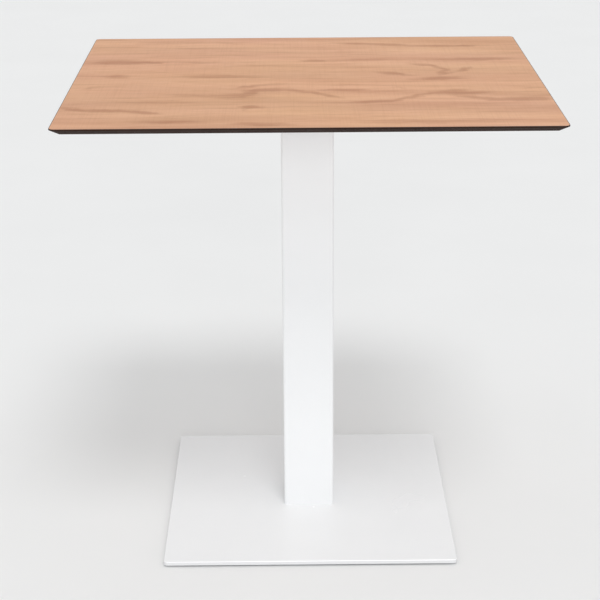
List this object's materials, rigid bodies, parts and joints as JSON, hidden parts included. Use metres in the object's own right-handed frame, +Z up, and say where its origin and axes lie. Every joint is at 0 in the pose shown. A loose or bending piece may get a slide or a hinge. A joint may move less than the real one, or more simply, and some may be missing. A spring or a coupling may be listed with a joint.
{
  "type": "bistro table",
  "caption": "Pedestal bistro table with a thin rectangular wood-look laminate top, a square white steel column and a flat square base plate on screw-in levellers.",
  "frame": {"origin": "on the floor under the centre of the column, levellers screwed right in", "axes": "+Z up, +X along the 700 mm length of the top, +Y along its 600 mm width, front towards -Y"},
  "size_m": [0.7, 0.6, 0.71],
  "materials": {
    "oak_decor": "wood-look melamine laminate face, pale warm oak with darker smoky grain, fine pore texture",
    "phenolic_core": "black-brown phenolic paper core, milled and lightly polished, fine paper layers",
    "white_powder_coat": "white powder coat, satin, very fine orange peel",
    "plain_steel": "uncoated mild steel, mill finish with cut edges",
    "zinc_steel": "bright zinc-plated steel",
    "insert_brass": "turned brass, knurled",
    "pad_nylon": "black moulded nylon, fine matt texture"
  },
  "bodies": {
    "table": {"top_decor_sheet": "oak_decor", "top_core": "phenolic_core", "top_backing_sheet": "oak_decor", "top_inserts": "insert_brass", "top_screws": "zinc_steel", "top_washers": "zinc_steel", "spider_upper_rail": "white_powder_coat", "spider_lower_rail": "white_powder_coat", "spider_hub_plate": "white_powder_coat", "head_locator": "plain_steel", "column_tube": "white_powder_coat", "tie_rod": "zinc_steel", "tie_rod_nut": "zinc_steel", "tie_rod_washer": "zinc_steel", "tie_rod_jam_nut": "zinc_steel", "foot_locator": "plain_steel", "foot_locator_screws": "zinc_steel", "base_plate": "white_powder_coat"},
    "leveller_pad_front_left": {"leveller_pad_front_left": "pad_nylon"},
    "leveller_stud_front_left": {"leveller_stud_front_left": "zinc_steel"},
    "leveller_pad_front_right": {"leveller_pad_front_right": "pad_nylon"},
    "leveller_stud_front_right": {"leveller_stud_front_right": "zinc_steel"},
    "leveller_pad_rear_left": {"leveller_pad_rear_left": "pad_nylon"},
    "leveller_stud_rear_left": {"leveller_stud_rear_left": "zinc_steel"},
    "leveller_pad_rear_right": {"leveller_pad_rear_right": "pad_nylon"},
    "leveller_stud_rear_right": {"leveller_stud_rear_right": "zinc_steel"}
  },
  "joints": [
    {"name": "leveller_pad_front_left_travel", "type": "slide", "parent": "table", "child": "leveller_pad_front_left", "axis": [0, 0, -1], "range_m": [0, 0.0025]},
    {"name": "leveller_stud_front_left_turn", "type": "hinge", "parent": "leveller_pad_front_left", "child": "leveller_stud_front_left", "pos_m": [-0.19, -0.19, 0.003], "axis": [0, 0, -1], "range_deg": [0, 720]},
    {"name": "leveller_pad_front_right_travel", "type": "slide", "parent": "table", "child": "leveller_pad_front_right", "axis": [0, 0, -1], "range_m": [0, 0.0025]},
    {"name": "leveller_stud_front_right_turn", "type": "hinge", "parent": "leveller_pad_front_right", "child": "leveller_stud_front_right", "pos_m": [0.19, -0.19, 0.003], "axis": [0, 0, -1], "range_deg": [0, 720]},
    {"name": "leveller_pad_rear_left_travel", "type": "slide", "parent": "table", "child": "leveller_pad_rear_left", "axis": [0, 0, -1], "range_m": [0, 0.0025]},
    {"name": "leveller_stud_rear_left_turn", "type": "hinge", "parent": "leveller_pad_rear_left", "child": "leveller_stud_rear_left", "pos_m": [-0.19, 0.19, 0.003], "axis": [0, 0, -1], "range_deg": [0, 720]},
    {"name": "leveller_pad_rear_right_travel", "type": "slide", "parent": "table", "child": "leveller_pad_rear_right", "axis": [0, 0, -1], "range_m": [0, 0.0025]},
    {"name": "leveller_stud_rear_right_turn", "type": "hinge", "parent": "leveller_pad_rear_right", "child": "leveller_stud_rear_right", "pos_m": [0.19, 0.19, 0.003], "axis": [0, 0, -1], "range_deg": [0, 720]}
  ],
  "couplings": [
    {"joint": "leveller_stud_front_left_turn", "follows": "leveller_pad_front_left_travel", "rad_per_m": 5026.5},
    {"joint": "leveller_stud_front_right_turn", "follows": "leveller_pad_front_right_travel", "rad_per_m": 5026.5},
    {"joint": "leveller_stud_rear_left_turn", "follows": "leveller_pad_rear_left_travel", "rad_per_m": 5026.5},
    {"joint": "leveller_stud_rear_right_turn", "follows": "leveller_pad_rear_right_travel", "rad_per_m": 5026.5}
  ]
}
